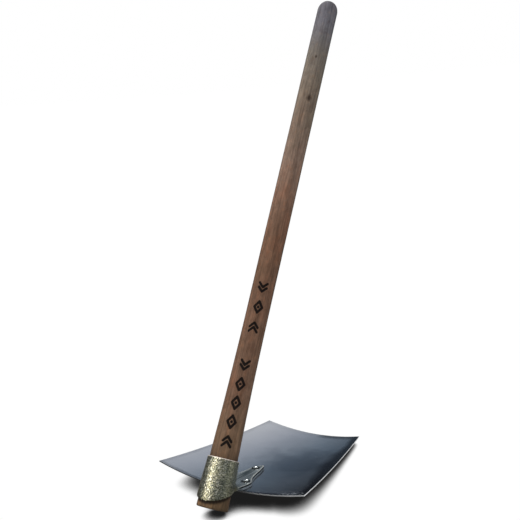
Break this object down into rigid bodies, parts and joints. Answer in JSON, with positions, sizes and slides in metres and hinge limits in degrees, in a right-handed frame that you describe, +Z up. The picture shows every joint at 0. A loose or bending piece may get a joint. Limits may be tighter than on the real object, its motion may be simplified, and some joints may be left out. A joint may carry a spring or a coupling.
{
  "type": "draw hoe",
  "caption": "Draw hoe with a broad concave steel blade riveted under the tongue of a conical eye socket that slides over a straight flared hardwood handle.",
  "frame": {"origin": "centre of the handle's foot face", "axes": "+Z straight up with the hoe standing on its foot and its cutting edge, +X towards the cutting edge on the ground, +Y to the left when looking along +X"},
  "size_m": [0.5337, 0.28, 0.8114],
  "materials": {
    "ash_wood": "oiled hardwood, brown, greying towards the grip end",
    "forged_socket": "hammered forging with a thin golden olive coat",
    "polished_blade": "smooth polished sheet steel",
    "rivet_steel": "bright domed rivet heads"
  },
  "bodies": {
    "handle": {"handle": "ash_wood"},
    "head": {"eye_socket": "forged_socket", "blade": "polished_blade", "rivet_tip": "rivet_steel", "rivet_root_left": "rivet_steel", "rivet_root_right": "rivet_steel"}
  },
  "joints": [
    {"name": "head_slide", "type": "slide", "parent": "handle", "child": "head", "axis": [0.5358, 0, 0.8443], "range_m": [0, 0.95]}
  ]
}
